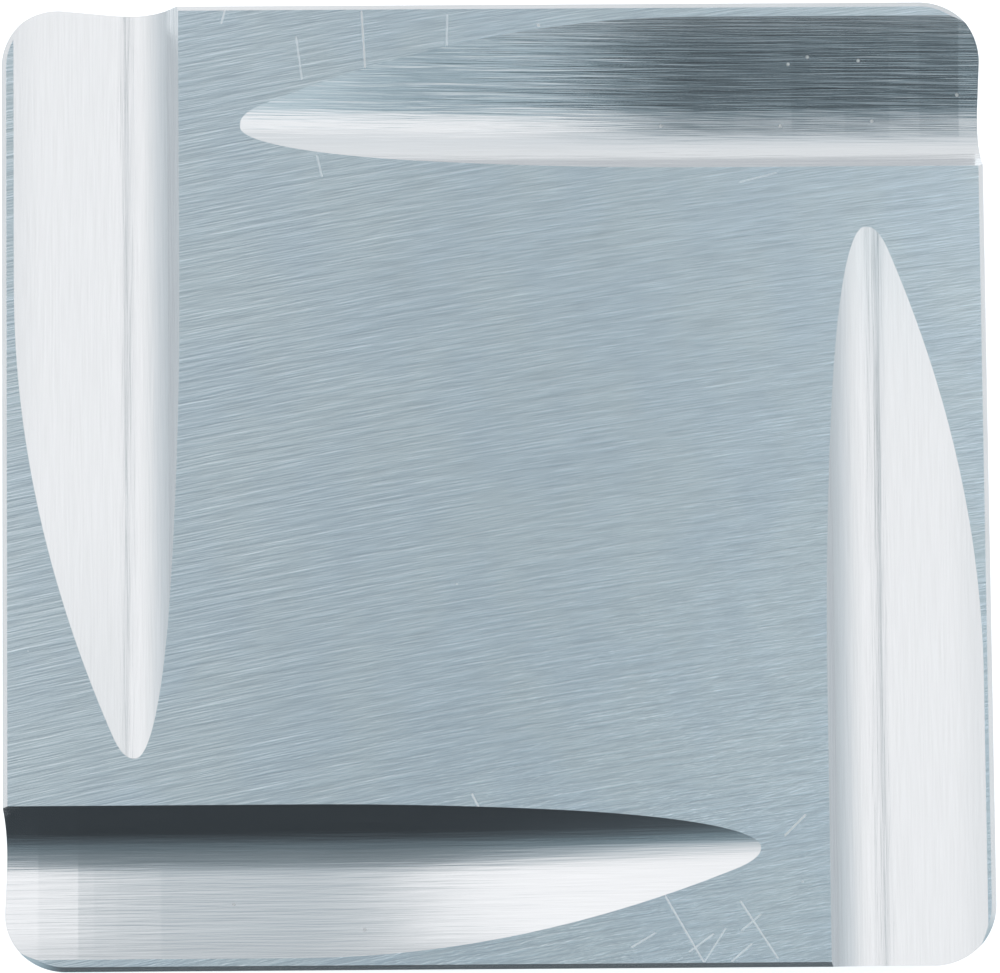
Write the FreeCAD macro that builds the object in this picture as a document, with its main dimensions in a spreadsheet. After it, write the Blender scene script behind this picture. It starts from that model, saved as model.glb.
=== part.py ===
"""Square positive turning insert of cermet, ground all over, with no hole.

The insert is one solid. Its cutting edges bound a square with rounded noses, a narrow
land slopes down to them all round, and the flanks lean in under them by the relief
angle. One chip groove follows each cutting edge. A grinding wheel with a shaped rim
cuts it: the wheel travels in through one nose at full depth and stops part way along
the edge, so the groove ends in the wheel's own curve.

Frame: the origin is the middle of the bottom face, and +Z is up, out of the rake face.
Lengths are in millimetres and angles in degrees.
"""

import FreeCAD, Part

import math
import os

import Sketcher

# Driving dimensions: the alias, its value and what it is.
DIMENSIONS = (
    ("inscribed_circle", 12.70, "distance across the square, from cutting edge to cutting edge"),
    ("thickness", 3.18, "from the bottom face to the top face"),
    ("nose_radius", 0.80, "radius of each nose, at the cutting edge"),
    ("relief_angle", 11.0, "lean of the flanks under the cutting edges"),
    ("land_width", 0.06, "width of the sloping land, seen from above"),
    ("land_angle", 20.0, "slope of the land down to the cutting edge"),
    ("margin_width", 0.138, "from the cutting edge to the groove, at full depth"),
    ("rake_angle", 12.6, "slope of the straight side of the groove"),
    ("groove_depth", 0.289, "from the top face to the deepest line of the groove"),
    ("deepest_line", 1.567, "from the cutting edge to the deepest line of the groove"),
    ("floor_angle", 3.5, "slope of the narrow floor, down to the deepest line"),
    ("back_radius", 1.10, "radius of the groove's back wall"),
    ("inner_edge", 2.194, "from the cutting edge to the inner edge of the groove"),
    ("shoulder_depth", 0.109, "from the top face to the foot of the straight shoulder"),
    ("shoulder_angle", 44.0, "slope of the shoulder, between the back wall and the top face"),
    ("full_depth_length", 3.73, "from the open end to where the wheel stops"),
    ("wheel_radius", 62.5, "radius of the grinding wheel, at the deepest line"),
    ("wheel_overhang", 0.10, "height of the wheel's profile above the top face"),
)

NODE = "turning_insert"
SIDES = 4

# Indices that the sketcher uses for its own origin and axes, and for the points of a line.
ORIGIN, VERTICAL_AXIS = -1, -2
START, END = 1, 2


def make_sheet(doc):
    """Write the driving dimensions into a spreadsheet, one named cell for each."""
    sheet = doc.addObject("Spreadsheet::Sheet", "dimensions")
    for row, (alias, value, meaning) in enumerate(DIMENSIONS, start=1):
        sheet.set(f"A{row}", meaning)
        sheet.set(f"B{row}", str(value))
        sheet.setAlias(f"B{row}", alias)
    doc.recompute()
    return sheet


def origin_feature(body, role):
    """Find one of the body's own planes or axes."""
    return next(item for item in body.Origin.OriginFeatures if item.Role == role)


def new_sketch(body, name, role, offset):
    """Put a sketch on one of the body's own planes, set off along its normal."""
    sketch = body.newObject("Sketcher::SketchObject", name)
    sketch.AttachmentSupport = [(origin_feature(body, role), "")]
    sketch.MapMode = "FlatFace"
    sketch.setExpression("AttachmentOffset.Base.z", offset)
    return sketch


def size(sketch, name, expression, kind, *where):
    """Add a dimension to a sketch, name it and bind it to the spreadsheet."""
    value = float(sketch.evalExpression(expression))
    if kind == "Angle":
        value = math.radians(value)
    index = sketch.addConstraint(Sketcher.Constraint(kind, *where, value))
    sketch.renameConstraint(index, name)
    sketch.setExpression(f"Constraints.{name}", expression)


def draw_cutting_edge(body, sheet):
    """Sketch the square of cutting edges with its rounded noses, at their own height."""
    sketch = new_sketch(
        body,
        "cutting_edge",
        "XY_Plane",
        "dimensions.thickness - dimensions.land_width * tan(dimensions.land_angle * 1deg)",
    )
    half = sheet.inscribed_circle / 2
    straight = half - sheet.nose_radius
    up = FreeCAD.Vector(0, 0, 1)
    for side in range(SIDES):
        turn = FreeCAD.Rotation(up, 360 / SIDES * side)
        first = turn.multVec(FreeCAD.Vector(half, -straight, 0))
        last = turn.multVec(FreeCAD.Vector(half, straight, 0))
        sketch.addGeometry(Part.LineSegment(first, last))
    for side in range(SIDES):
        turn = FreeCAD.Rotation(up, 360 / SIDES * side)
        centre = turn.multVec(FreeCAD.Vector(straight, straight, 0))
        nose = Part.Circle(centre, up, sheet.nose_radius)
        begin = math.radians(360 / SIDES * side)
        sketch.addGeometry(Part.ArcOfCircle(nose, begin, begin + math.radians(360 / SIDES)))

    for side in range(SIDES):
        nose = SIDES + side
        following = (side + 1) % SIDES
        sketch.addConstraint(Sketcher.Constraint("Tangent", side, END, nose, START))
        sketch.addConstraint(Sketcher.Constraint("Tangent", nose, END, following, START))
        upright = "Vertical" if side % 2 == 0 else "Horizontal"
        sketch.addConstraint(Sketcher.Constraint(upright, side))
    for nose in range(SIDES + 1, 2 * SIDES):
        sketch.addConstraint(Sketcher.Constraint("Equal", SIDES, nose))

    reach = "dimensions.inscribed_circle / 2"
    size(sketch, "right_edge", reach, "DistanceX", ORIGIN, START, 0, START)
    size(sketch, "back_edge", reach, "DistanceY", ORIGIN, START, 1, START)
    size(sketch, "left_edge", reach, "DistanceX", 2, START, ORIGIN, START)
    size(sketch, "front_edge", reach, "DistanceY", 3, START, ORIGIN, START)
    size(sketch, "nose_radius", "dimensions.nose_radius", "Radius", SIDES)
    return sketch


def make_blank(body, outline):
    """Grow the blank from its cutting edges: the land rises inwards, the flanks fall inwards."""
    land_height = "dimensions.land_width * tan(dimensions.land_angle * 1deg)"
    blank = body.newObject("PartDesign::Pad", "blank")
    blank.Profile = outline
    blank.SideType = "Two sides"
    blank.setExpression("Length", land_height)
    blank.setExpression("TaperAngle", "dimensions.land_angle - 90")
    blank.setExpression("Length2", f"dimensions.thickness - {land_height}")
    blank.setExpression("TaperAngle2", "-dimensions.relief_angle")
    return blank


def draw_wheel_rim(body, sheet):
    """Sketch the wheel's rim where it stops, across the groove of the right-hand edge.

    A straight rake falls away from the cutting edge to a narrow, almost level floor. From
    the deepest line a round back wall rises, and a straight shoulder ends it. The profile
    is closed a little above the top face, clear of the insert.
    """
    sketch = new_sketch(
        body,
        "wheel_rim",
        "XZ_Plane",
        "dimensions.inscribed_circle / 2 - dimensions.full_depth_length",
    )
    half = sheet.inscribed_circle / 2
    top = sheet.thickness
    bottom = top - sheet.groove_depth
    lid = top + sheet.wheel_overhang
    rake = math.tan(math.radians(sheet.rake_angle))
    fall = math.tan(math.radians(sheet.floor_angle))
    steep = math.tan(math.radians(sheet.shoulder_angle))

    def point(inwards, height):
        return FreeCAD.Vector(half - inwards, height, 0)

    meet = (sheet.groove_depth - fall * sheet.deepest_line + rake * sheet.margin_width) / (rake - fall)
    foot = sheet.inner_edge - sheet.shoulder_depth / steep
    outer = point(sheet.margin_width - sheet.wheel_overhang / rake, lid)
    corner = point(meet, top - rake * (meet - sheet.margin_width))
    deepest = point(sheet.deepest_line, bottom)
    kink = point(foot, top - sheet.shoulder_depth)
    back = point(sheet.inner_edge + sheet.wheel_overhang / steep, lid)

    # The centre of the back wall is above the middle of its chord, square to it.
    chord = kink - deepest
    rise = math.sqrt(sheet.back_radius ** 2 - chord.Length ** 2 / 4)
    square = FreeCAD.Vector(chord.y, -chord.x, 0).normalize()
    centre = deepest + chord / 2 + square * rise
    circle = Part.Circle(centre, FreeCAD.Vector(0, 0, 1), sheet.back_radius)
    kink_angle = math.atan2(kink.y - centre.y, kink.x - centre.x)
    deepest_angle = math.atan2(deepest.y - centre.y, deepest.x - centre.x)
    axle_z = bottom + sheet.wheel_radius

    rake_line = sketch.addGeometry(Part.LineSegment(corner, outer))
    floor_line = sketch.addGeometry(Part.LineSegment(deepest, corner))
    back_arc = sketch.addGeometry(Part.ArcOfCircle(circle, kink_angle, deepest_angle))
    shoulder_line = sketch.addGeometry(Part.LineSegment(kink, back))
    lid_line = sketch.addGeometry(Part.LineSegment(outer, back))
    axle = sketch.addGeometry(
        Part.LineSegment(FreeCAD.Vector(0, axle_z, 0), FreeCAD.Vector(half, axle_z, 0)), True
    )
    outer_crease = sketch.addGeometry(Part.Point(point(sheet.margin_width, top)), True)
    inner_crease = sketch.addGeometry(Part.Point(point(sheet.inner_edge, top)), True)

    joints = (
        (rake_line, START, floor_line, END),
        (floor_line, START, back_arc, END),
        (back_arc, START, shoulder_line, START),
        (shoulder_line, END, lid_line, END),
        (lid_line, START, rake_line, END),
    )
    for joint in joints:
        sketch.addConstraint(Sketcher.Constraint("Coincident", *joint))
    sketch.addConstraint(Sketcher.Constraint("Horizontal", lid_line))
    sketch.addConstraint(Sketcher.Constraint("PointOnObject", outer_crease, START, rake_line))
    sketch.addConstraint(Sketcher.Constraint("PointOnObject", inner_crease, START, shoulder_line))
    sketch.addConstraint(Sketcher.Constraint("Horizontal", axle))
    sketch.addConstraint(Sketcher.Constraint("PointOnObject", axle, START, VERTICAL_AXIS))

    size(sketch, "rake_angle", "dimensions.rake_angle", "Angle", rake_line)
    size(sketch, "floor_angle", "dimensions.floor_angle", "Angle", floor_line)
    size(sketch, "shoulder_angle", "180 - dimensions.shoulder_angle", "Angle", shoulder_line)
    size(sketch, "back_radius", "dimensions.back_radius", "Radius", back_arc)

    edge = "dimensions.inscribed_circle / 2"
    height = "dimensions.thickness"
    floor_height = f"{height} - dimensions.groove_depth"
    places = (
        ("outer_crease", f"{edge} - dimensions.margin_width", "DistanceX", outer_crease, START),
        ("outer_crease_height", height, "DistanceY", outer_crease, START),
        ("inner_crease", f"{edge} - dimensions.inner_edge", "DistanceX", inner_crease, START),
        ("inner_crease_height", height, "DistanceY", inner_crease, START),
        ("deepest_place", f"{edge} - dimensions.deepest_line", "DistanceX", floor_line, START),
        ("deepest_height", floor_height, "DistanceY", floor_line, START),
        ("foot_height", f"{height} - dimensions.shoulder_depth", "DistanceY", shoulder_line, START),
        ("lid_height", f"{height} + dimensions.wheel_overhang", "DistanceY", lid_line, START),
        ("axle_height", f"{floor_height} + dimensions.wheel_radius", "DistanceY", axle, START),
        ("axle_length", edge, "DistanceX", axle, END),
    )
    for name, expression, kind, item, end in places:
        size(sketch, name, expression, kind, ORIGIN, START, item, end)
    return sketch


def cut_pass(body, rim):
    """Cut the full-depth part of the groove, from the wheel's stop out through the nose."""
    groove = body.newObject("PartDesign::Pocket", "groove_pass")
    groove.Profile = rim
    groove.Type = "ThroughAll"
    groove.Reversed = True
    return groove


def cut_run_out(body, rim):
    """Cut the end of the groove, where the wheel stops: its rim turned about its axle."""
    groove = body.newObject("PartDesign::Groove", "groove_run_out")
    groove.Profile = rim
    groove.ReferenceAxis = (rim, ["Axis0"])
    groove.Angle = 360
    return groove


def repeat_round(body, features):
    """Repeat the groove along every cutting edge, turned about the middle of the insert."""
    pattern = body.newObject("PartDesign::PolarPattern", "grooves")
    pattern.Originals = features
    pattern.Axis = (origin_feature(body, "Z_Axis"), [""])
    pattern.Angle = 360
    pattern.Occurrences = SIDES
    body.Tip = pattern
    return pattern


def check(doc, body, stages):
    """Stop if a feature failed, a sketch is loose or a cut took nothing away."""
    for item in doc.Objects:
        if "Invalid" in item.State or "Error" in item.State:
            raise RuntimeError(f"{item.Name} failed: {item.State}")
        if item.TypeId == "Sketcher::SketchObject" and not item.FullyConstrained:
            raise RuntimeError(f"{item.Name} has sizes that nothing fixes")
    for before, after in zip(stages, stages[1:]):
        if after.Shape.Volume >= before.Shape.Volume:
            raise RuntimeError(f"{after.Name} cuts nothing")
    if body.Shape.isNull() or not body.Shape.isValid() or len(body.Shape.Solids) != 1:
        raise RuntimeError("the insert is not one sound solid")


def main():
    doc = FreeCAD.newDocument("turning_insert_model")
    sheet = make_sheet(doc)
    body = doc.addObject("PartDesign::Body", "insert_body")
    body.Label = NODE

    outline = draw_cutting_edge(body, sheet)
    blank = make_blank(body, outline)
    rim = draw_wheel_rim(body, sheet)
    full_pass = cut_pass(body, rim)
    run_out = cut_run_out(body, rim)
    grooves = repeat_round(body, [full_pass, run_out])
    doc.recompute()
    check(doc, body, [blank, full_pass, run_out, grooves])

    os.makedirs("parts", exist_ok=True)
    body.Shape.exportStep(f"parts/{body.Label}.step")
    box = body.Shape.optimalBoundingBox(False)
    print(f"{body.Label}: {body.Shape.Volume:.3f} mm3, {len(body.Shape.Faces)} faces")
    print(f"box {box.XLength:.3f} x {box.YLength:.3f} x {box.ZLength:.3f} mm")


main()
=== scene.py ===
"""Square cermet turning insert with four ground chip grooves, and the plain studio round it.

The insert is one closed mesh, worked out from the same sizes as the solid it stands for:
the flat top, the sloping land round it, the leaning flanks and rounded noses, and the
grooves that a shaped grinding wheel leaves. Lengths are in metres and angles in radians.
A groove has two distances of its own: along the edge from its open end, and across, in
from the cutting edge. The sides are counted round from the right: right, back, left, front.
"""

import math

import bmesh
import bpy
import numpy as np
from bpy.props import FloatProperty, FloatVectorProperty, PointerProperty
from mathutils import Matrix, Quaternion, Vector


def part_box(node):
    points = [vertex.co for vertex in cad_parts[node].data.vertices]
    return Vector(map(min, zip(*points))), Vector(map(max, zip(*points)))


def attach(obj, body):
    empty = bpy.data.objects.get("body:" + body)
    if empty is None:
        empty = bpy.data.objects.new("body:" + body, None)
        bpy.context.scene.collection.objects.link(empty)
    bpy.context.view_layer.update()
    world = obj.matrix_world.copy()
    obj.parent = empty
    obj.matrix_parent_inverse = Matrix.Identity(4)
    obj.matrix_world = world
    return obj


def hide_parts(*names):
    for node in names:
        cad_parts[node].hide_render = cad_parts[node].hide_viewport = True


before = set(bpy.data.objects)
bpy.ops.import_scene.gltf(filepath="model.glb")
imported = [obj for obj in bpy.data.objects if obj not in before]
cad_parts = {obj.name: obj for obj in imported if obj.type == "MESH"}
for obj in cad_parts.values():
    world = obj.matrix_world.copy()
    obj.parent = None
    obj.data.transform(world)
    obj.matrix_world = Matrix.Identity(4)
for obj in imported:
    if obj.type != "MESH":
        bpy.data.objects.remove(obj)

bl_info = {
    "name": "Ground turning insert",
    "version": (1, 0, 0),
    "blender": (4, 5, 0),
    "location": "3D View > Sidebar > Insert",
    "description": "Makes a square turning insert with ground chip grooves, and its studio",
    "category": "Object",
}

NODE = "turning_insert"
SIDES = 4
MM = 0.001

FRAME_LOW, FRAME_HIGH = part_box(NODE)
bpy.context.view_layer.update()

# Kinds of surface, in the order of the insert's material slots.
TOP, GROOVE, SHOULDER, LAND, FLANK, BOTTOM = range(6)

# Mesh steps: along a groove, across each half of it and its blend, round a nose and down a
# flank, and the steps in which a rim's depth is looked up.
GROOVE_STEPS = 44
HALF_STEPS = 60
BLEND_STEPS = 9
RIM_STEPS = 4001
NOSE_STEPS = 18
FLANK_STEPS = 5
WELD = 0.00003 * MM

# Scratches on the top face, each from x, y to x, y in millimetres, and how strong it is.
SCRATCHES = (
    (-1.68, 6.26, -1.64, 5.50, 1.0),
    (-0.34, -4.08, -0.26, -4.25, 0.8),
    (3.92, -4.38, 3.66, -4.64, 1.0),
    (2.12, -5.43, 2.59, -6.27, 0.7),
    (3.08, -5.50, 3.54, -6.23, 0.6),
    (1.68, -6.08, 1.98, -5.90, 0.5),
    (2.42, -6.14, 2.72, -5.92, 0.5),
    (2.61, -6.27, 2.88, -5.85, 0.4),
    (2.96, -6.27, 3.21, -6.05, 0.5),
    (3.09, -5.87, 3.33, -5.67, 0.4),
    (-3.50, 6.12, -3.45, 6.30, 0.5),
    (-2.53, 5.92, -2.46, 5.37, 0.3),
    (-0.57, 6.21, -0.58, 5.77, 0.3),
    (-2.27, 4.34, -2.21, 4.07, 0.3),
    (3.20, 3.96, 3.67, 4.08, 0.3),
)

# Marks where the wheel dwelt in the back and front grooves: distance along the groove in
# millimetres, and the tilt, in degrees along it, that the ground surface has from there on.
BACK_DWELLS = ((0.0, 0.55), (0.29, 0.25), (0.80, 0.40), (1.19, 0.30), (1.77, 0.40), (2.46, 0.52))
FRONT_DWELLS = (
    (0.0, 0.07), (0.45, -0.19), (0.96, -0.54), (1.16, -0.62), (1.46, -0.67), (2.02, -0.91))

# How much higher the grinding lines are in the back groove than in the others, as a share.
BACK_COARSER = 1.2

# The fine step near the floor of the right and left grooves: the side and the distance in
# from the cutting edge, its slope in degrees, and the distance over which it levels out.
HEELS = ((0, 1.42), (2, 1.59))
HEEL_SLOPE = 6.0
HEEL_REACH = 0.5

# Bright specks in the back and front grooves, at x, y in millimetres, and their radius
# where they start to fade and where they end.
SPECKS = (
    (4.76, 5.60), (3.85, 5.56), (4.10, 5.65), (6.04, 5.16), (3.74, 4.77),
    (4.93, 4.83), (2.19, 4.78), (-3.40, -5.46), (-1.73, -5.82),
)
SPECK_CORE = 0.012
SPECK_RIM = 0.026
SPECK_COLOUR = (0.97, 0.97, 0.97, 1.0)

# Centres of the arcs that the top face's grinding lines follow, at x, y in millimetres.
ARC_CENTRE = (24.8, -148.0)
CROSSING_CENTRE = (21.5, -60.0)
SCRATCH_WIDTH = 0.015


class InsertSizes(bpy.types.PropertyGroup):
    """Sizes of the insert."""

    side: FloatProperty(
        name="Side", description="Distance across the square of cutting edges",
        default=FRAME_HIGH[0] - FRAME_LOW[0], unit="LENGTH")
    thickness: FloatProperty(
        name="Thickness", description="From the bottom face to the top face",
        default=FRAME_HIGH[2] - FRAME_LOW[2], unit="LENGTH")
    nose_radius: FloatProperty(
        name="Nose radius", description="Radius of each nose at the cutting edge",
        default=0.8 * MM, unit="LENGTH")
    relief: FloatProperty(
        name="Relief", description="Lean of the flanks under the cutting edges",
        default=math.radians(11.0), subtype="ANGLE")
    land_width: FloatProperty(
        name="Land width", description="Width of the sloping land, seen from above",
        default=0.06 * MM, unit="LENGTH")
    land_slope: FloatProperty(
        name="Land slope", description="Slope of the land down to the cutting edge",
        default=math.radians(20.0), subtype="ANGLE")
    rake: FloatProperty(
        name="Rake", description="Slope of the straight side of the groove",
        default=math.radians(12.6), subtype="ANGLE")
    floor_slope: FloatProperty(
        name="Floor slope", description="Slope of the narrow floor, down to the deepest line",
        default=math.radians(0.3), subtype="ANGLE")
    corner_blend: FloatProperty(
        name="Corner blend", description="Half-width of the rounding between the rake and the floor",
        default=0.13 * MM, unit="LENGTH")
    rise: FloatProperty(
        name="Rise", description="Slope at which the back wall starts at the deepest line",
        default=math.radians(0.5), subtype="ANGLE")
    shoulder_slope: FloatProperty(
        name="Shoulder slope", description="Slope of the straight shoulder on top of the back wall",
        default=math.radians(44.0), subtype="ANGLE")
    wheel_radius: FloatProperty(
        name="Wheel radius", description="Radius of the grinding wheel at the groove's floor",
        default=62.5 * MM, unit="LENGTH")
    margin: FloatVectorProperty(
        name="Margin", description="From the cutting edge to the groove, on each side",
        default=(0.110 * MM, 0.180 * MM, 0.155 * MM, 0.157 * MM), size=SIDES, unit="LENGTH")
    depth: FloatVectorProperty(
        name="Groove depth", description="From the top face to the groove's floor, on each side",
        default=(0.283 * MM, 0.281 * MM, 0.309 * MM, 0.281 * MM), size=SIDES, unit="LENGTH")
    deepest: FloatVectorProperty(
        name="Deepest line", description="From the cutting edge to the deepest line, on each side",
        default=(1.550 * MM, 1.620 * MM, 1.700 * MM, 1.567 * MM), size=SIDES, unit="LENGTH")
    inner: FloatVectorProperty(
        name="Inner edge", description="From the cutting edge to the groove's inner edge, on each side",
        default=(2.120 * MM, 2.190 * MM, 2.290 * MM, 2.155 * MM), size=SIDES, unit="LENGTH")
    shoulder: FloatVectorProperty(
        name="Shoulder", description="Depth of the straight shoulder, on each side",
        default=(0.100 * MM, 0.107 * MM, 0.145 * MM, 0.105 * MM), size=SIDES, unit="LENGTH")
    full_length: FloatVectorProperty(
        name="Full-depth length", description="From the open end to the wheel's stop, on each side",
        default=(3.765 * MM, 3.696 * MM, 3.727 * MM, 3.779 * MM), size=SIDES, unit="LENGTH")


class InsertFinish(bpy.types.PropertyGroup):
    """Colours and finish of the ground cermet."""

    metal: FloatVectorProperty(
        name="Metal", description="Colour of the ground cermet",
        default=(0.708, 0.716, 0.734), size=3, subtype="COLOR")
    # The top face's colour is the cermet painted lighter and bluer than in the grooves: painted light, for
    # the cool light that the top face reflects. The bottom takes it too.
    top_metal_painted_light: FloatVectorProperty(
        name="Top metal", description="Colour of the top face, ground more coarsely",
        default=(0.800, 0.867, 0.915), size=3, subtype="COLOR")
    groove_roughness: FloatProperty(
        name="Groove roughness", description="Roughness of the ground grooves", default=0.143)
    top_roughness: FloatProperty(
        name="Top roughness", description="Roughness of the ground top face", default=0.22)
    land_roughness: FloatProperty(
        name="Land roughness", description="Roughness of the honed land", default=0.27)


class StudioSettings(bpy.types.PropertyGroup):
    """Light and backdrop."""

    strength: FloatProperty(
        name="Strength", description="Brightness of the white tent round the insert", default=1.30)
    floor_colour: FloatVectorProperty(
        name="Floor", description="Colour of the floor",
        default=(0.8, 0.8, 0.8), size=3, subtype="COLOR")
    backdrop_white: FloatProperty(
        name="Backdrop white", description="White that the camera sees on top of the lit floor", default=0.7)


class Groove:
    """One groove: the rim of a grinding wheel carried along the edge, then out in an arc.

    The rim's depth is a straight rake from the margin, a narrow floor down to the deepest
    line, a back wall that rises as a circle, and a straight shoulder up to the top face.
    Rake and floor meet in a parabola, which lies above their corner by the change of slope
    times the squared distance from the blend's end, over four blends. The circle leaves
    the deepest line at the rise and ends at the shoulder, so its radius is half the chord
    between them over the sine of the chord's slope less the rise.
    """

    def __init__(self, sizes, turn):
        self.sizes = sizes
        self.margin = sizes.margin[turn]
        self.depth = sizes.depth[turn]
        self.deepest = sizes.deepest[turn]
        self.inner = sizes.inner[turn]
        self.shoulder = sizes.shoulder[turn]
        self.full_length = sizes.full_length[turn]
        self.axle = sizes.wheel_radius - self.depth

        rake, floor = math.tan(sizes.rake), math.tan(sizes.floor_slope)
        self.bend = rake - floor
        self.corner = (self.depth - floor * self.deepest + rake * self.margin) / self.bend
        self.blend = min(sizes.corner_blend, self.deepest - self.corner)
        self.kink = self.inner - self.shoulder / math.tan(sizes.shoulder_slope)
        run, climb = self.kink - self.deepest, self.depth - self.shoulder
        self.radius = math.hypot(run, climb) / 2 / math.sin(math.atan2(climb, run) - sizes.rise)
        self.middle = self.deepest - self.radius * math.sin(sizes.rise)
        self.centre = self.radius * math.cos(sizes.rise) - self.depth
        self.lines, self.edge_exit = self.rim_lines()

    def rim(self, across):
        """Depth of the rim below the top face, at a distance in from the cutting edge."""
        sizes = self.sizes
        rake = (across - self.margin) * math.tan(sizes.rake)
        floor = self.depth - (self.deepest - across) * math.tan(sizes.floor_slope)
        room = np.clip(self.radius ** 2 - (across - self.middle) ** 2, 0.0, None)
        shoulder = (self.inner - across) * math.tan(sizes.shoulder_slope)
        near = np.clip(self.blend - np.abs(across - self.corner), 0.0, None)
        outer = np.minimum(rake, floor) - self.bend * near ** 2 / (4 * self.blend)
        inner = np.where(across < self.kink, np.sqrt(room) - self.centre, shoulder)
        return np.where(across < self.deepest, outer, inner)

    def rim_at(self, depth):
        """Where the rim is at a depth, once before and once past its deepest line."""
        falling = np.linspace(self.margin, self.deepest, RIM_STEPS)
        rising = np.linspace(self.inner, self.deepest, RIM_STEPS)
        return tuple(np.interp(depth, self.rim(side), side) for side in (falling, rising))

    def surface(self, along, across):
        """Depth of the groove: the rim turned about the axle once the wheel has stopped."""
        past = np.clip(along - self.full_length, 0.0, None)
        return np.sqrt((self.axle + self.rim(across)) ** 2 - past ** 2) - self.axle

    def end(self, across):
        """Distance along at which each point of the rim comes out of the top face."""
        radius = self.axle + self.rim(across)
        return self.full_length + np.sqrt(np.clip(radius ** 2 - self.axle ** 2, 0.0, None))

    def start(self, across):
        """Distance along at which each line starts, at the flank or round the nose.

        Beside the flank it is the inset at the line's height. Round the nose it is the
        nose radius less the root of the shrunken radius squared less the offset squared.
        """
        side = inset(self.sizes, self.sizes.thickness - self.rim(across))
        nose = self.sizes.nose_radius
        room = np.clip((nose - side) ** 2 - (nose - across) ** 2, 0.0, None)
        return np.where(across < nose, nose - np.sqrt(room), side)

    def rim_lines(self):
        """Distances in from the edge of the lines that run along the groove.

        Evenly spaced steps q give a share q(2 - q) of the run-out's length, so the lines
        end at even steps round its tip. More lines pass through the corners of the outline.
        """
        sizes = self.sizes
        run_out = math.sqrt(sizes.wheel_radius ** 2 - self.axle ** 2)
        q = np.linspace(0.0, 1.0, HALF_STEPS + 1)
        depth = np.sqrt(self.axle ** 2 + (q * (2 - q) * run_out) ** 2) - self.axle
        depth = np.minimum(depth, self.depth)
        outer, inner = self.rim_at(depth)
        drop = np.array([sizes.thickness - edge_height(sizes)])
        edge_outer, edge_inner = self.rim_at(drop)
        blend = np.linspace(self.corner - self.blend, self.corner + self.blend, BLEND_STEPS)
        corners = np.concatenate([
            [edge_outer[0], sizes.nose_radius], blend, [self.kink, edge_inner[0]]])
        lines = np.concatenate([outer, inner[-2::-1]])
        gap = np.abs(lines[:, None] - corners[None, :]).min(axis=1)
        keep = gap > 0.002 * MM
        keep[[0, -1]] = True
        return np.sort(np.concatenate([lines[keep], corners])), edge_inner[0]

    def open_lines(self):
        """Lines from the nose's end to the inner edge, which cross the next flank."""
        return self.lines[self.lines >= self.sizes.nose_radius]

    def nose_lines(self):
        """Lines from the nose's end out to the margin, which cross this groove's nose."""
        return self.lines[self.lines <= self.sizes.nose_radius][::-1]


def edge_height(sizes):
    """Height of the cutting edge: the top face less the drop of the land."""
    return sizes.thickness - sizes.land_width * math.tan(sizes.land_slope)


def inset(sizes, height):
    """How far the outside lies in from the cutting edge at a height: flank below, land above."""
    below = edge_height(sizes) - height
    return np.where(below > 0, below * math.tan(sizes.relief), -below / math.tan(sizes.land_slope))


class Surfaces:
    """Collects surfaces as points, faces, kinds and map places, to join into one mesh."""

    def __init__(self, sizes):
        self.sizes = sizes
        self.grooves = [Groove(sizes, turn) for turn in range(SIDES)]
        self.points = []
        self.places = []
        self.faces = []
        self.kinds = []
        self.count = 0

    def next_groove(self, turn):
        """The groove whose open end crosses this side's flank."""
        return self.grooves[(turn + 1) % SIDES]

    def place(self, turn, along, across, height):
        """Turn groove distances into the insert's own x, y and z, for one of its sides."""
        half = self.sizes.side / 2
        x, y = half - across, along - half
        angle = turn * 2 * math.pi / SIDES
        cosine, sine = math.cos(angle), math.sin(angle)
        return np.stack([x * cosine - y * sine, x * sine + y * cosine, height], axis=-1)

    def add_points(self, points, places):
        """Add points with their map places, and give the number of the first."""
        first = self.count
        self.points.append(points.reshape(-1, 3))
        self.places.append(places.reshape(-1, 2))
        self.count += len(self.points[-1])
        return first

    def add_grid(self, kind, points, places):
        """Add a surface given on a grid of rows and columns, one quad for each cell."""
        rows, columns = points.shape[:2]
        first = self.add_points(points, places)
        index = first + np.arange(rows * columns).reshape(rows, columns)
        quads = np.stack([index[:-1, :-1], index[1:, :-1], index[1:, 1:], index[:-1, 1:]], axis=-1)
        self.faces.extend(quads.reshape(-1, 4).tolist())
        self.kinds.extend([kind] * ((rows - 1) * (columns - 1)))

    def add_outline(self, kind, points, places):
        """Add one flat face from its outline."""
        first = self.add_points(points, places)
        self.faces.append(list(range(first, first + len(points))))
        self.kinds.append(kind)


def add_groove(surfaces, turn):
    """One groove: along each line, even steps from the open end to the run-out's end."""
    groove = surfaces.grooves[turn]
    share = np.linspace(0.0, 1.0, GROOVE_STEPS + 1)
    on_shoulder = groove.lines >= groove.kink
    below = ~on_shoulder | (groove.lines == groove.kink)
    for kind, lines in ((GROOVE, groove.lines[below]), (SHOULDER, groove.lines[on_shoulder])):
        start = groove.start(lines)
        along = start[:, None] + (groove.end(lines) - start)[:, None] * share[None, :]
        across = np.broadcast_to(lines[:, None], along.shape)
        height = surfaces.sizes.thickness - groove.surface(along, across)
        points = surfaces.place(turn, along, across, height)
        places = np.stack([across, along + turn * surfaces.sizes.side], axis=-1)
        surfaces.add_grid(kind, points, places)


def nose_angles(groove):
    """Angles round a nose: at the groove lines that cross it, then on to the next edge."""
    sizes = groove.sizes
    crossing = groove.nose_lines()
    height = sizes.thickness - groove.rim(crossing)
    radius = sizes.nose_radius - inset(sizes, height)
    angle = np.arcsin(np.clip((sizes.nose_radius - crossing) / radius, 0.0, 1.0))
    rest = np.linspace(angle[-1], math.pi / 2, NOSE_STEPS + 1)[1:]
    return angle, rest, height


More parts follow.
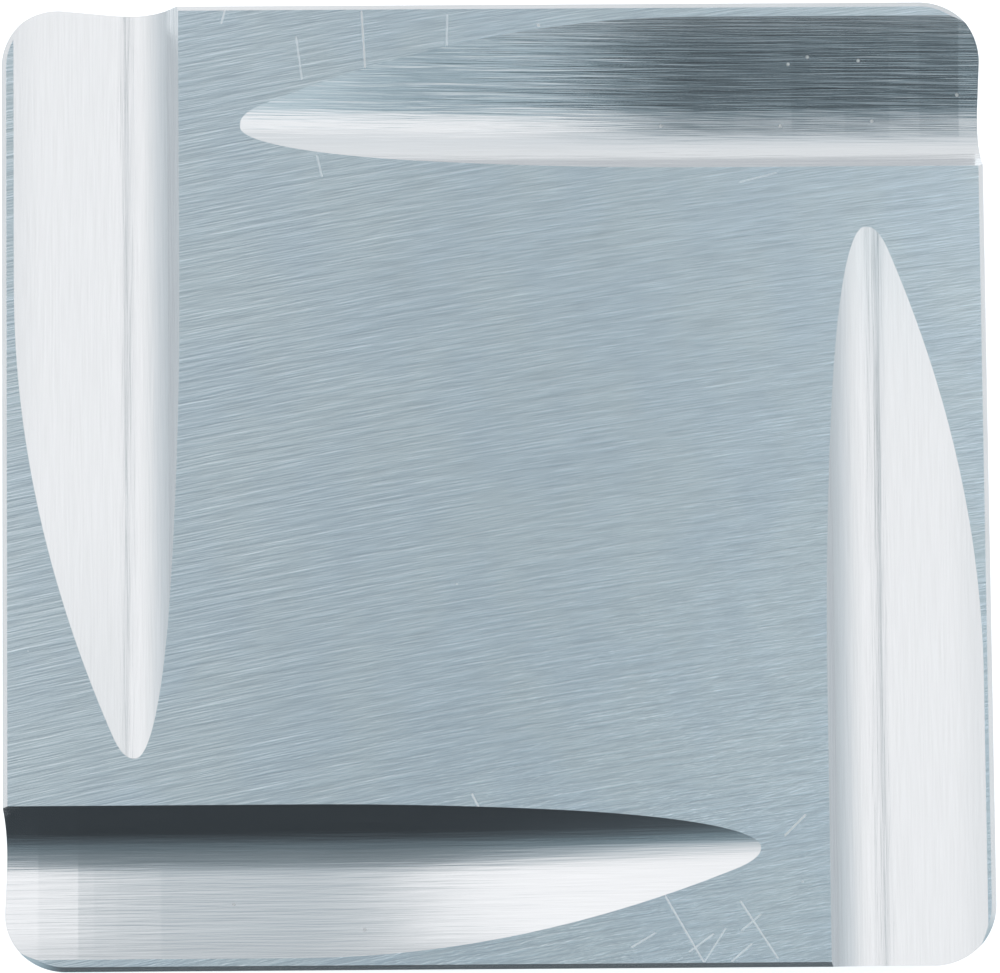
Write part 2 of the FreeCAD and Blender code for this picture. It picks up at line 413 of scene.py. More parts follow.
def add_nose(surfaces, turn):
    """A nose: a cone that narrows downwards, and the land round what the groove leaves.

    A point on it is the nose's middle less its radius times the cosine and sine of the
    angle, and the radius shrinks by the inset.
    """
    sizes = surfaces.sizes
    angle, rest, height = nose_angles(surfaces.grooves[turn])
    edge = edge_height(sizes)

    def add_round(kind, around, level):
        spread = np.broadcast_to(around[:, None], level.shape)
        radius = sizes.nose_radius - inset(sizes, level)
        along = sizes.nose_radius - radius * np.cos(spread)
        across = sizes.nose_radius - radius * np.sin(spread)
        points = surfaces.place(turn, along, across, level)
        places = np.stack([level, spread * sizes.nose_radius + turn * sizes.side], axis=-1)
        surfaces.add_grid(kind, points, places)

    top = np.minimum(np.concatenate([height, np.full(len(rest), edge)]), edge)
    share = np.linspace(0.0, 1.0, FLANK_STEPS + 1)
    add_round(FLANK, np.concatenate([angle, rest]), top[:, None] * (1 - share[None, :]))

    on_land = height >= edge - WELD
    lid = np.concatenate([height[on_land], np.full(len(rest), sizes.thickness)])
    level = np.stack([np.full(len(lid), edge), lid], axis=-1)
    add_round(LAND, np.concatenate([angle[on_land], rest]), level)


def add_side(surfaces, turn):
    """A flank and its land, from one nose to the open end of the next groove."""
    sizes = surfaces.sizes
    groove = surfaces.next_groove(turn)
    edge = edge_height(sizes)
    opening = groove.open_lines()

    below = opening[opening <= groove.edge_exit][::-1]
    along = np.concatenate([[sizes.nose_radius], sizes.side - below])
    top = np.concatenate([[edge], sizes.thickness - groove.rim(below)])
    share = np.linspace(0.0, 1.0, FLANK_STEPS + 1)
    level = np.minimum(top, edge)[:, None] * (1 - share[None, :])
    reach = np.broadcast_to(along[:, None], level.shape)
    points = surfaces.place(turn, reach, inset(sizes, level), level)
    places = np.stack([level, reach + turn * sizes.side], axis=-1)
    surfaces.add_grid(FLANK, points, places)

    above = opening[opening >= groove.edge_exit]
    along = np.concatenate([[sizes.nose_radius], sizes.side - above, [sizes.nose_radius]])
    level = np.concatenate([[edge], sizes.thickness - groove.rim(above), [sizes.thickness]])
    points = surfaces.place(turn, along, inset(sizes, level), level)
    places = np.stack([level, along + turn * sizes.side], axis=-1)
    surfaces.add_outline(LAND, points, places)


def add_top(surfaces):
    """The flat top: round each nose, across to the next groove, in along it and back out."""
    sizes = surfaces.sizes
    share = np.linspace(0.0, 1.0, GROOVE_STEPS + 1)
    outline = []
    for turn in range(SIDES):
        angle, rest, height = nose_angles(surfaces.grooves[turn])
        radius = sizes.nose_radius - sizes.land_width
        around = np.concatenate([[angle[-1]], rest])
        along = sizes.nose_radius - radius * np.cos(around)
        across = sizes.nose_radius - radius * np.sin(around)
        outline.append(surfaces.place(turn, along, across, np.full(len(around), sizes.thickness)))

        groove = surfaces.next_groove(turn)
        start = groove.start(groove.lines[[0, -1]])
        inward = start[1] + (groove.full_length - start[1]) * share
        outward = start[0] + (groove.full_length - start[0]) * share[:0:-1]
        middle = groove.lines[1:-1][::-1]
        along = np.concatenate([inward, groove.end(middle), outward])
        across = np.concatenate([
            np.full(len(inward), groove.lines[-1]), middle, np.full(len(outward), groove.lines[0])])
        flat = np.full(len(along), sizes.thickness)
        outline.append(surfaces.place(turn + 1, along, across, flat))
    points = np.concatenate(outline)
    surfaces.add_outline(TOP, points, points[:, :2])


def add_bottom(surfaces):
    """The flat bottom: the square less the relief, with the noses' small radius."""
    sizes = surfaces.sizes
    margin = inset(sizes, 0.0)
    outline = []
    for turn in range(SIDES):
        angle, rest, height = nose_angles(surfaces.grooves[turn])
        around = np.concatenate([angle, rest])
        radius = sizes.nose_radius - margin
        along = sizes.nose_radius - radius * np.cos(around)
        across = sizes.nose_radius - radius * np.sin(around)
        outline.append(surfaces.place(turn, along, across, np.zeros(len(around))))

        groove = surfaces.next_groove(turn)
        opening = groove.open_lines()[1:]
        below = opening[opening <= groove.edge_exit][::-1]
        level = np.zeros(len(below))
        outline.append(surfaces.place(turn, sizes.side - below, np.full(len(below), margin), level))
    points = np.concatenate(outline)
    surfaces.add_outline(BOTTOM, points, points[:, :2])


def insert_mesh(sizes):
    """Join all the surfaces into one closed mesh, sharp where two kinds of surface meet."""
    surfaces = Surfaces(sizes)
    for turn in range(SIDES):
        add_groove(surfaces, turn)
        add_nose(surfaces, turn)
        add_side(surfaces, turn)
    add_top(surfaces)
    add_bottom(surfaces)

    mesh = bpy.data.meshes.new("ground_insert")
    mesh.from_pydata(np.concatenate(surfaces.points).tolist(), [], surfaces.faces)
    mesh.polygons.foreach_set("material_index", surfaces.kinds)
    mesh.polygons.foreach_set("use_smooth", [True] * len(surfaces.kinds))
    corner_point = np.empty(len(mesh.loops), dtype=np.int32)
    mesh.loops.foreach_get("vertex_index", corner_point)
    places = np.concatenate(surfaces.places)[corner_point] / sizes.side
    mesh.uv_layers.new(name="grinding").data.foreach_set("uv", places.astype(np.float32).ravel())

    shape = bmesh.new()
    shape.from_mesh(mesh)
    bmesh.ops.remove_doubles(shape, verts=shape.verts, dist=WELD)
    bmesh.ops.dissolve_degenerate(shape, edges=shape.edges, dist=WELD)
    bmesh.ops.recalc_face_normals(shape, faces=shape.faces)
    for edge in shape.edges:
        kinds = {face.material_index for face in edge.link_faces}
        edge.smooth = len(kinds) == 1
    shape.to_mesh(mesh)
    shape.free()
    return mesh


class Nodes:
    """Adds nodes to a shader tree, with each input set to a number or linked to a socket."""

    def __init__(self, tree):
        self.tree = tree

    def add(self, kind, inputs=None, **values):
        """Add a node, set its named values, and fill its inputs by name or number."""
        node = self.tree.nodes.new(kind)
        for name, value in values.items():
            setattr(node, name, value)
        for name, value in (inputs or {}).items():
            self.fill(node.inputs[name], value)
        return node

    def fill(self, socket, value):
        """Link a socket into an input, or write a plain value there."""
        if isinstance(value, bpy.types.NodeSocket):
            self.tree.links.new(value, socket)
        else:
            socket.default_value = value

    def math(self, operation, *values):
        """One sum of up to three values."""
        return self.add("ShaderNodeMath", dict(enumerate(values)), operation=operation).outputs[0]

    def vector(self, operation, *values, output=0):
        """One vector sum."""
        node = self.add("ShaderNodeVectorMath", dict(enumerate(values)), operation=operation)
        return node.outputs[output]

    def combine(self, x, y, z):
        return self.add("ShaderNodeCombineXYZ", {0: x, 1: y, 2: z}).outputs[0]

    def separate(self, vector):
        return self.add("ShaderNodeSeparateXYZ", {0: vector}).outputs

    def line(self, value, start, slope):
        """A straight line over a value: the start plus the slope times the value."""
        return self.math("MULTIPLY_ADD", value, slope, start)

    def smooth(self, value, low, high, start=0.0, end=1.0):
        """A smooth step of a value, from low to high, given out from start to end."""
        inputs = {"Value": value, "From Min": low, "From Max": high, "To Min": start, "To Max": end}
        return self.add("ShaderNodeMapRange", inputs, interpolation_type="SMOOTHSTEP").outputs[0]

    def ramp(self, value, stops):
        """A colour for each value, from stops of place and colour."""
        node = self.add("ShaderNodeValToRGB", {0: value})
        elements = node.color_ramp.elements
        while len(elements) < len(stops):
            elements.new(0.5)
        for element, (place, colour) in zip(elements, stops):
            element.position = place
            element.color = (*colour, 1.0)
        return node.outputs[0]

    def levels(self, value, stops):
        """A level for each value, from stops of place and level."""
        return self.ramp(value, [(place, (level,) * 3) for place, level in stops])

    def mix(self, share, first, second):
        """A mix of two colours."""
        inputs = {"Factor": share, 6: first, 7: second}
        return self.add("ShaderNodeMix", inputs, data_type="RGBA").outputs[2]

    def group(self, tree, **inputs):
        """Place a node group and fill its named inputs."""
        node = self.add("ShaderNodeGroup", node_tree=tree)
        for name, value in inputs.items():
            self.fill(node.inputs[name], value)
        return node.outputs


def new_group(name, inputs, outputs):
    """Start a shader node group, and give its tree, its builder and its two end nodes."""
    tree = bpy.data.node_groups.new(name, "ShaderNodeTree")
    for label, kind in inputs:
        tree.interface.new_socket(label, in_out="INPUT", socket_type=kind)
    for label in outputs:
        tree.interface.new_socket(label, in_out="OUTPUT", socket_type="NodeSocketFloat")
    nodes = Nodes(tree)
    return tree, nodes, nodes.add("NodeGroupInput").outputs, nodes.add("NodeGroupOutput").inputs


def grinding_lines_group():
    """Fine lines left by the grit: noise drawn out along the lines, centred on nought."""
    number = "NodeSocketFloat"
    tree, nodes, given, result = new_group(
        "grinding_lines", (("Across", number), ("Along", number), ("Spacing", number),
                           ("Length", number), ("Seed", number)), ("Lines",))
    place = nodes.combine(
        nodes.math("DIVIDE", given["Across"], given["Spacing"]),
        nodes.math("DIVIDE", given["Along"], given["Length"]),
        given["Seed"])
    noise = nodes.add("ShaderNodeTexNoise", {"Vector": place, "Scale": 1.0, "Detail": 1.0, "Roughness": 0.6})
    nodes.fill(result["Lines"], nodes.math("SUBTRACT", noise.outputs["Fac"], 0.5))
    return tree


def scratch_group():
    """One straight scratch: a mask that is one on the line between two points.

    A point's share along the line is its offset dotted with the line, over the line
    squared, kept between nought and one, and the mask falls off with its distance.
    """
    vector = "NodeSocketVector"
    tree, nodes, given, result = new_group(
        "scratch", (("Place", vector), ("Start", vector), ("End", vector), ("Width", "NodeSocketFloat")),
        ("Mask",))
    offset = nodes.vector("SUBTRACT", given["Place"], given["Start"])
    line = nodes.vector("SUBTRACT", given["End"], given["Start"])
    share = nodes.math(
        "DIVIDE", nodes.vector("DOT_PRODUCT", offset, line, output=1),
        nodes.vector("DOT_PRODUCT", line, line, output=1))
    share = nodes.math("MINIMUM", nodes.math("MAXIMUM", share, 0.0), 1.0)
    scaled = nodes.add("ShaderNodeVectorMath", {0: line, "Scale": share}, operation="SCALE").outputs[0]
    gap = nodes.vector("LENGTH", nodes.vector("SUBTRACT", offset, scaled), output=1)
    nodes.fill(result["Mask"], nodes.smooth(nodes.math("DIVIDE", gap, given["Width"]), 0.5, 1.0, 1.0, 0.0))
    return tree


def specks_group():
    """Scattered specks: small discs in a few of the cells of a random pattern."""
    tree, nodes, given, result = new_group(
        "specks", (("Place", "NodeSocketVector"), ("Spacing", "NodeSocketFloat"),
                   ("Share", "NodeSocketFloat"), ("Radius", "NodeSocketFloat")), ("Mask",))
    scale = nodes.math("DIVIDE", 1.0, given["Spacing"])
    cells = nodes.add("ShaderNodeTexVoronoi", {"Vector": given["Place"], "Scale": scale})
    size = nodes.math("DIVIDE", given["Radius"], given["Spacing"])
    near = nodes.smooth(nodes.math("DIVIDE", cells.outputs["Distance"], size), 0.6, 1.0, 1.0, 0.0)
    chosen = nodes.math("LESS_THAN", nodes.separate(cells.outputs["Color"])[0], given["Share"])
    nodes.fill(result["Mask"], nodes.math("MULTIPLY", near, chosen))
    return tree


def dwells_height(nodes, along, dwells):
    """Height of the wheel's dwell marks: straight pieces along the groove, each with a tilt.

    The height is the sum, over the marks, of the change of slope times the distance past.
    """
    height = 0.0
    slope = 0.0
    for place, tilt in dwells:
        change = math.tan(math.radians(tilt)) - slope
        slope += change
        past = nodes.math("MAXIMUM", nodes.math("SUBTRACT", along, place * MM), 0.0)
        height = nodes.math("MULTIPLY_ADD", past, change, height)
    return height


class Finishes:
    """The insert's materials, with the groups that they share."""

    def __init__(self, sizes, finish):
        self.sizes = sizes
        self.finish = finish
        self.lines = grinding_lines_group()
        self.scratch = scratch_group()
        self.specks = specks_group()

    def start(self, name, colour, roughness, anisotropy):
        """A new metal, its node builder and its shader."""
        material = bpy.data.materials.new(name)
        material.use_nodes = True
        nodes = Nodes(material.node_tree)
        shader = material.node_tree.nodes["Principled BSDF"]
        shader.inputs["Base Color"].default_value = (*colour, 1.0)
        shader.inputs["Metallic"].default_value = 1.0
        shader.inputs["Roughness"].default_value = roughness
        shader.inputs["Anisotropic"].default_value = anisotropy
        return material, nodes, shader

    def add_bump(self, nodes, shader, height):
        """Tilt the surface by a height in metres."""
        bump = nodes.add("ShaderNodeBump", {"Strength": 1.0, "Distance": 1.0, "Height": height})
        nodes.fill(shader.inputs["Normal"], bump.outputs[0])

    def map_places(self, nodes, shader):
        """Distances across and along the grinding, from the piece's own map.

        The shine is stretched by the same map.
        """
        tangent = nodes.add("ShaderNodeTangent", direction_type="UV_MAP", uv_map="grinding")
        nodes.fill(shader.inputs["Tangent"], tangent.outputs[0])
        place = nodes.separate(nodes.add("ShaderNodeUVMap", uv_map="grinding").outputs[0])
        side = self.sizes.side
        return nodes.math("MULTIPLY", place[0], side), nodes.math("MULTIPLY", place[1], side)

    def flat_place(self, nodes):
        """The place on the piece as seen from above."""
        place = nodes.add("ShaderNodeTexCoord").outputs["Object"]
        return nodes.vector("MULTIPLY", place, (1.0, 1.0, 0.0))

    def ground_lines(self, nodes, across, along, spacing, length, seed):
        """Grinding lines, with their spacing and length in millimetres."""
        return nodes.group(
            self.lines, Across=across, Along=along, Spacing=spacing * MM, Length=length * MM, Seed=seed)[0]

    def shaded(self, nodes, colour, shade):
        """A colour made lighter or darker by a shade."""
        return nodes.vector("MULTIPLY", colour, nodes.combine(shade, shade, shade))

    def one_side(self, nodes, along, turn):
        """Distance along one side's groove, and a mask that is one in that groove only."""
        side = self.sizes.side
        local = nodes.math("SUBTRACT", along, turn * side)
        started = nodes.math("GREATER_THAN", local, 0.0)
        return local, nodes.math("MULTIPLY", started, nodes.math("LESS_THAN", local, side))

    def heel_height(self, nodes, across, heel):
        """Height of the fine step near the floor.

        It is the distance past the heel times the slope there, times one less half the
        distance over the reach, so it is level again where the reach ends.
        """
        past = nodes.math("MAXIMUM", nodes.math("SUBTRACT", across, heel * MM), 0.0)
        past = nodes.math("MINIMUM", past, HEEL_REACH * MM)
        rise = nodes.math("MULTIPLY", past, math.tan(math.radians(HEEL_SLOPE)))
        return nodes.math("MULTIPLY", rise, nodes.line(past, 1.0, -0.5 / (HEEL_REACH * MM)))

    def groove(self):
        """The ground groove: fine lines along it, the wheel's fine steps and a few specks.

        The strip beside the cutting edge is a little rougher than the rest.
        """
        material, nodes, shader = self.start(
            "ground_groove", self.finish.metal, self.finish.groove_roughness, 1.0)
        across, along = self.map_places(nodes, shader)
        fine = self.ground_lines(nodes, across, along, 0.022, 0.9, 1.0)
        broad = self.ground_lines(nodes, across, along, 0.08, 2.6, 7.0)
        lines = nodes.math("MULTIPLY", fine, 0.0014 * MM)
        lines = nodes.math("MULTIPLY_ADD", broad, 0.0026 * MM, lines)
        height = lines
        for turn, heel in HEELS:
            here = self.one_side(nodes, along, turn)[1]
            height = nodes.math("MULTIPLY_ADD", self.heel_height(nodes, across, heel), here, height)
        for turn, dwells, coarser in ((1, BACK_DWELLS, BACK_COARSER), (3, FRONT_DWELLS, 0.0)):
            local, here = self.one_side(nodes, along, turn)
            marks = nodes.math("MULTIPLY_ADD", lines, coarser, dwells_height(nodes, local, dwells))
            height = nodes.math("MULTIPLY_ADD", marks, here, height)
        self.add_bump(nodes, shader, height)

        place = nodes.combine(across, along, 0.0)
        specks = nodes.group(self.specks, Place=place, Spacing=0.7 * MM, Share=0.06, Radius=0.015 * MM)[0]
        flat = self.flat_place(nodes)
        for x, y in SPECKS:
            gap = nodes.vector("DISTANCE", flat, (x * MM, y * MM, 0.0), output=1)
            disc = nodes.smooth(gap, SPECK_CORE * MM, SPECK_RIM * MM, 1.0, 0.0)
            specks = nodes.math("MAXIMUM", disc, specks)
        colour = self.shaded(nodes, tuple(self.finish.metal), nodes.line(fine, 1.0, 0.10))
        nodes.fill(shader.inputs["Base Color"], nodes.mix(specks, colour, SPECK_COLOUR))
        ground = self.finish.groove_roughness
        rough = nodes.smooth(across, 0.1 * MM, 0.6 * MM, ground + 0.08, ground)
        nodes.fill(shader.inputs["Roughness"], nodes.math("MULTIPLY_ADD", specks, 0.7, rough))
        return material

    def top(self):
        """The ground top: long arcs of fine lines, a weaker crossing set, and scratches."""
        material, nodes, shader = self.start(
            "ground_top", self.finish.top_metal_painted_light, self.finish.top_roughness, 0.9)
        flat = self.flat_place(nodes)

        def arcs(centre, spacing, length, seed):
            x, y = centre
            arm = nodes.vector("SUBTRACT", flat, (x * MM, y * MM, 0.0))
            across = nodes.vector("LENGTH", arm, output=1)
            heading = Vector((-y, x, 0.0)).normalized()
            along = nodes.vector("DOT_PRODUCT", flat, tuple(heading), output=1)
            return arm, self.ground_lines(nodes, across, along, spacing, length, seed)

        arm, fine = arcs(ARC_CENTRE, 0.022, 0.55, 3.0)
        broad = arcs(ARC_CENTRE, 0.060, 2.2, 5.0)[1]
        crossing = arcs(CROSSING_CENTRE, 0.028, 0.50, 9.0)[1]
        nodes.fill(shader.inputs["Tangent"], nodes.vector("NORMALIZE", arm))
        spot = nodes.separate(flat)
        corner = nodes.smooth(nodes.math("SUBTRACT", spot[0], spot[1]), -2.0 * MM, 8.0 * MM)
        height = nodes.math("MULTIPLY", fine, 0.0018 * MM)
        height = nodes.math("MULTIPLY_ADD", broad, 0.0026 * MM, height)
        crossed = nodes.math("MULTIPLY", nodes.math("MULTIPLY", crossing, corner), 0.0022 * MM)
        self.add_bump(nodes, shader, nodes.math("ADD", height, crossed))

        marks = 0.0
        for x1, y1, x2, y2, strength in SCRATCHES:
            mask = nodes.group(
                self.scratch, Place=flat, Start=(x1 * MM, y1 * MM, 0.0), End=(x2 * MM, y2 * MM, 0.0),
                Width=SCRATCH_WIDTH * MM)[0]
            marks = nodes.math("MAXIMUM", nodes.math("MULTIPLY", mask, 0.8 * strength), marks)
        specks = nodes.group(self.specks, Place=flat, Spacing=0.55 * MM, Share=0.15, Radius=0.025 * MM)
        marks = nodes.math("MAXIMUM", marks, specks[0])

        noise = nodes.add("ShaderNodeTexNoise", {"Vector": flat, "Scale": 0.7 / MM, "Detail": 2.0})
        patches = nodes.smooth(noise.outputs["Fac"], 0.35, 0.65)
        # The top's colour carries painted light: lighter and bluer than the grooves' cermet, for the cool
        # light that the top face reflects.
        cool = tuple(c * s for c, s in zip(self.finish.top_metal_painted_light, (0.975, 0.985, 1.0)))
        warm = tuple(c * s for c, s in zip(self.finish.top_metal_painted_light, (1.015, 1.01, 1.0)))
        colour = nodes.mix(patches, (*cool, 1.0), (*warm, 1.0))
        shade = nodes.math("MULTIPLY_ADD", fine, 0.32, nodes.line(broad, 1.0, 0.22))
        colour = self.shaded(nodes, colour, shade)
        nodes.fill(shader.inputs["Base Color"], nodes.mix(marks, colour, SPECK_COLOUR))
        nodes.fill(shader.inputs["Roughness"], nodes.line(marks, self.finish.top_roughness, 0.4))
        return material

    def edge(self, name, roughness):
        """The ground flanks and land: fine lines that run along the edge."""
        material, nodes, shader = self.start(name, self.finish.metal, roughness, 0.9)
        across, along = self.map_places(nodes, shader)
        fine = self.ground_lines(nodes, across, along, 0.04, 1.2, 2.0)
        broad = self.ground_lines(nodes, across, along, 0.15, 3.0, 4.0)
        height = nodes.math("MULTIPLY", fine, 0.0016 * MM)
        self.add_bump(nodes, shader, nodes.math("MULTIPLY_ADD", broad, 0.003 * MM, height))
        colour = self.shaded(nodes, tuple(self.finish.metal), nodes.line(fine, 1.0, 0.15))
        nodes.fill(shader.inputs["Base Color"], colour)
        return material

    def bottom(self):
        """The ground bottom: straight fine lines."""
        # The bottom takes the top's colour, with its painted light.
        material, nodes, shader = self.start(
            "ground_bottom", self.finish.top_metal_painted_light, self.finish.top_roughness, 0.9)
        spot = nodes.separate(self.flat_place(nodes))
        nodes.fill(shader.inputs["Tangent"], nodes.combine(0.0, 1.0, 0.0))
        fine = self.ground_lines(nodes, spot[1], spot[0], 0.05, 1.0, 6.0)
        self.add_bump(nodes, shader, nodes.math("MULTIPLY", fine, 0.003 * MM))
        colour = self.shaded(nodes, tuple(self.finish.top_metal_painted_light), nodes.line(fine, 1.0, 0.15))
        nodes.fill(shader.inputs["Base Color"], colour)
        return material


class INSERT_OT_grind(bpy.types.Operator):
    """Make the insert with its ground grooves"""

    bl_idname = "insert.grind"
    bl_label = "Grind the insert"

    def execute(self, context):
        sizes = context.scene.insert_sizes
        piece = bpy.data.objects.new("ground_insert", insert_mesh(sizes))
        context.collection.objects.link(piece)
        finishes = Finishes(sizes, context.scene.insert_finish)
        groove = finishes.groove()
        flank = finishes.edge("ground_flank", context.scene.insert_finish.top_roughness)
        land = finishes.edge("ground_land", context.scene.insert_finish.land_roughness)
        for material in (finishes.top(), groove, groove, land, flank, finishes.bottom()):
            piece.data.materials.append(material)
        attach(piece, "root")
        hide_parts(NODE)
        return {"FINISHED"}


# Tint of the light for each brightness: red, green, blue.
TINTS = (
    (0.00, (0.86, 0.87, 0.90)),
    (0.05, (0.80, 0.87, 0.95)),
    (0.19, (0.715, 0.90, 0.99)),
    (0.36, (0.737, 0.896, 0.977)),
    (0.50, (0.790, 0.887, 0.931)),
    (0.67, (0.819, 0.877, 0.912)),
    (0.83, (0.857, 0.875, 0.878)),
    (1.00, (0.870, 0.870, 0.870)),
)
TINT_SCALE = 1 / 0.87

# A direction in the tent is a unit vector: x to the right, y to the back and z up. A pair
# named for a coordinate is where on it something starts and ends.
# The cooler light from the front.
COOL_Y = (-0.08, 0.12)
COOL_TINT = (0.885, 1.0, 1.04, 1.0)

# The dark gap that the camera looks through: x of its left and right sides and how soft they
# are, each as a start and a slope over y, or on the right over the distance to the front.
GAP_LEFT = (-0.132, 0.242)
GAP_LEFT_SOFT = (0.138, -0.254)
GAP_RIGHT = (0.074, 0.100)
GAP_RIGHT_SOFT = (0.037, -0.010)
GAP_SHARPEST = 0.004
GAP_CLOSES_Y = (0.47, 1.13)
GAP_LEVELS = (
    (-0.70, 0.042), (-0.50, 0.030), (-0.30, 0.080), (-0.10, 0.138), (0.12, 0.180),
    (0.25, 0.166), (0.42, 0.253), (0.58, 0.60), (1.0, 0.69),
)

# The white: how much it dims with the square of x, how bright it is at the front, and at
# the back on the right. On the left a lamp changes it a little at the back.
SIDE_DIM = 0.456
FRONT_Y = (-0.097, 0.10)
FRONT_WHITE = 0.574
RIGHT_X = (-0.009, 0.010)
RIGHT_LEVELS = ((0.30, 1.0), (0.50, 0.73), (1.0, 0.82))
LAMP_Y = (0.25, 0.55)
LAMP_X = (-0.10, -0.03)
LAMP_GAIN = (-0.032, 0.040)

# The dim seam beside the gap, which fades towards the back and the horizon.
SEAM_X = 0.140
SEAM_SOFT = 0.024
SEAM_DEPTH = 0.55
SEAM_Y = (-0.05, 0.2)
SEAM_Z = (0.0, 0.6)


def tent_level(nodes, direction):
    """Brightness of the tent in each direction, from nought to one.

    The tent is white overhead and dims towards the sides and the front. The camera looks in
    through a dark gap that narrows from the front over the top and closes towards the back.
    The gap's left side slants, its right side is nearly straight, and a dim seam runs beside
    it. At the back the tent is dimmer on the right than on the left.
    """
    x, y, z = nodes.separate(direction)
    front = nodes.math("MAXIMUM", nodes.math("MULTIPLY", y, -1.0), 0.0)
    left_soft = nodes.math("MAXIMUM", nodes.line(y, *GAP_LEFT_SOFT), GAP_SHARPEST)
    right_soft = nodes.math("MAXIMUM", nodes.line(front, *GAP_RIGHT_SOFT), GAP_SHARPEST)
    past_left = nodes.math("SUBTRACT", x, nodes.line(y, *GAP_LEFT))
    past_right = nodes.math("SUBTRACT", nodes.line(front, *GAP_RIGHT), x)
    past_left = nodes.math("DIVIDE", past_left, left_soft)
    past_right = nodes.math("DIVIDE", past_right, right_soft)
    gap = nodes.math("MULTIPLY", nodes.smooth(past_left, -1.0, 1.0), nodes.smooth(past_right, -1.0, 1.0))
    gap = nodes.math("MULTIPLY", gap, nodes.smooth(y, *GAP_CLOSES_Y, 1.0, 0.0))
    halfway = nodes.line(y, 0.5, 0.5)
    dark = nodes.levels(halfway, [((place + 1) / 2, level) for place, level in GAP_LEVELS])

    side = nodes.line(nodes.math("MULTIPLY", x, x), 1.0, -SIDE_DIM)
    lamp = nodes.math("MULTIPLY", nodes.smooth(y, *LAMP_Y), nodes.smooth(x, *LAMP_X, *LAMP_GAIN))
    over = nodes.add("ShaderNodeMix", {
        0: nodes.smooth(x, *RIGHT_X),
        2: nodes.math("ADD", lamp, 1.0),
        3: nodes.levels(y, RIGHT_LEVELS),
    }).outputs[0]
    white = nodes.math("MULTIPLY", side, over)
    white = nodes.math("MULTIPLY", white, nodes.smooth(y, *FRONT_Y, FRONT_WHITE, 1.0))

    beside = nodes.math("ABSOLUTE", nodes.math("SUBTRACT", x, SEAM_X))
    seam = nodes.smooth(beside, 0.0, SEAM_SOFT, 1.0, 0.0)
    seam = nodes.math("MULTIPLY", seam, nodes.smooth(y, *SEAM_Y, SEAM_DEPTH, 0.0))
    seam = nodes.math("MULTIPLY", seam, nodes.smooth(z, *SEAM_Z))
    white = nodes.math("MULTIPLY", white, nodes.math("SUBTRACT", 1.0, seam))
    shade = nodes.math("SUBTRACT", 1.0, gap)
    return nodes.math("MULTIPLY_ADD", white, shade, nodes.math("MULTIPLY", dark, gap))


# The camera: its focal length and sensor in millimetres, where it stands and what it looks
# at in millimetres, and how far it is turned about its gaze in degrees.
LENS = 457.956
SENSOR = 36.0
CAMERA_PLACE = (-2.69544, -34.58535, 163.18364)
CAMERA_AIM = (0.053615, -0.050719, 3.18)
CAMERA_TURN = 4.0814


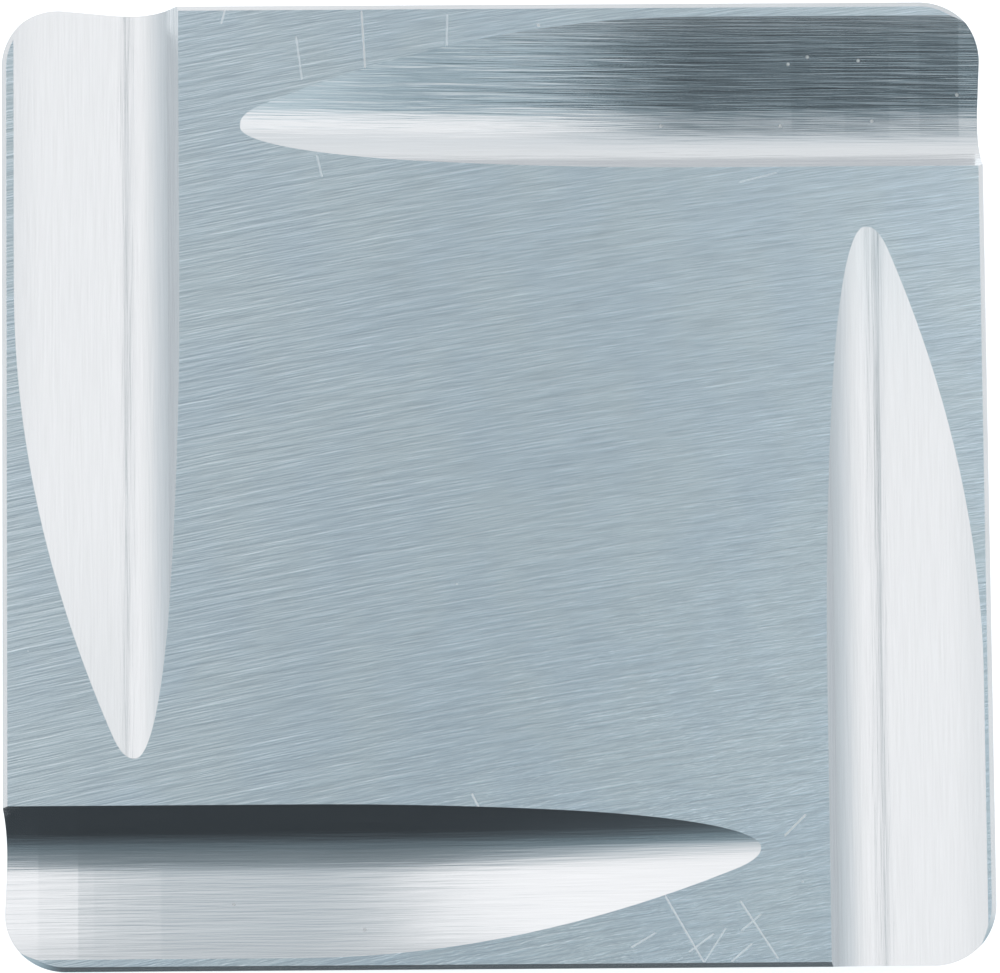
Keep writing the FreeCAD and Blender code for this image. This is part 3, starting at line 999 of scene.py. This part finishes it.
class INSERT_OT_set_stage(bpy.types.Operator):
    """Set the floor, the light and the camera"""

    bl_idname = "insert.set_stage"
    bl_label = "Set the stage"

    def execute(self, context):
        studio = context.scene.studio_settings
        self.set_floor(context, studio)
        self.set_tent(context, studio)
        self.set_camera(context)
        context.scene.view_settings.view_transform = "Standard"
        return {"FINISHED"}

    def set_floor(self, context, studio):
        bpy.ops.mesh.primitive_plane_add(size=1.0, location=(0, 0, 0))
        floor = context.object
        floor.name = "floor"
        material = bpy.data.materials.new("floor")
        material.use_nodes = True
        nodes = Nodes(material.node_tree)
        shader = material.node_tree.nodes["Principled BSDF"]
        shader.inputs["Base Color"].default_value = (*studio.floor_colour, 1.0)
        shader.inputs["Roughness"].default_value = 0.9
        shader.inputs["Emission Color"].default_value = (1.0, 1.0, 1.0, 1.0)
        rays = nodes.add("ShaderNodeLightPath").outputs
        seen = nodes.math("MAXIMUM", rays["Is Camera Ray"], rays["Is Glossy Ray"])
        seen = nodes.math("MAXIMUM", seen, rays["Is Transmission Ray"])
        nodes.fill(shader.inputs["Emission Strength"], nodes.math("MULTIPLY", seen, studio.backdrop_white))
        floor.data.materials.append(material)

    def set_tent(self, context, studio):
        world = bpy.data.worlds.new("tent")
        context.scene.world = world
        world.use_nodes = True
        nodes = Nodes(world.node_tree)
        direction = nodes.add("ShaderNodeTexCoord").outputs["Generated"]
        level = tent_level(nodes, direction)
        tint = nodes.ramp(level, TINTS)
        colour = nodes.vector("MULTIPLY", tint, nodes.combine(level, level, level))
        overhead = nodes.smooth(nodes.separate(direction)[1], *COOL_Y)
        cool = nodes.mix(overhead, COOL_TINT, (1.0, 1.0, 1.0, 1.0))
        colour = nodes.vector("MULTIPLY", colour, cool)
        background = world.node_tree.nodes["Background"]
        nodes.fill(background.inputs["Color"], colour)
        background.inputs["Strength"].default_value = studio.strength * TINT_SCALE

    def set_camera(self, context):
        lens = bpy.data.cameras.new("camera")
        lens.lens = LENS
        lens.sensor_width = SENSOR
        lens.clip_start = 0.01
        lens.clip_end = 10.0
        camera = bpy.data.objects.new("camera", lens)
        context.collection.objects.link(camera)
        place = Vector(CAMERA_PLACE) * MM
        aim = Vector(CAMERA_AIM) * MM
        gaze = (aim - place).to_track_quat("-Z", "Y")
        camera.rotation_mode = "QUATERNION"
        camera.rotation_quaternion = gaze @ Quaternion((0, 0, 1), math.radians(CAMERA_TURN))
        camera.location = place
        context.scene.camera = camera


class INSERT_PT_panel(bpy.types.Panel):
    """Lists what makes the insert and its stage"""

    bl_label = "Turning insert"
    bl_idname = "INSERT_PT_panel"
    bl_space_type = "VIEW_3D"
    bl_region_type = "UI"
    bl_category = "Insert"

    def draw(self, context):
        layout = self.layout
        layout.operator("insert.grind")
        layout.operator("insert.set_stage")


CLASSES = (
    InsertSizes,
    InsertFinish,
    StudioSettings,
    INSERT_OT_grind,
    INSERT_OT_set_stage,
    INSERT_PT_panel,
)


def register():
    for made in CLASSES:
        bpy.utils.register_class(made)
    bpy.types.Scene.insert_sizes = PointerProperty(type=InsertSizes)
    bpy.types.Scene.insert_finish = PointerProperty(type=InsertFinish)
    bpy.types.Scene.studio_settings = PointerProperty(type=StudioSettings)


def unregister():
    del bpy.types.Scene.studio_settings
    del bpy.types.Scene.insert_finish
    del bpy.types.Scene.insert_sizes
    for made in reversed(CLASSES):
        bpy.utils.unregister_class(made)


def main():
    register()
    bpy.ops.insert.grind()
    bpy.ops.insert.set_stage()


if __name__ == "__main__":
    main()
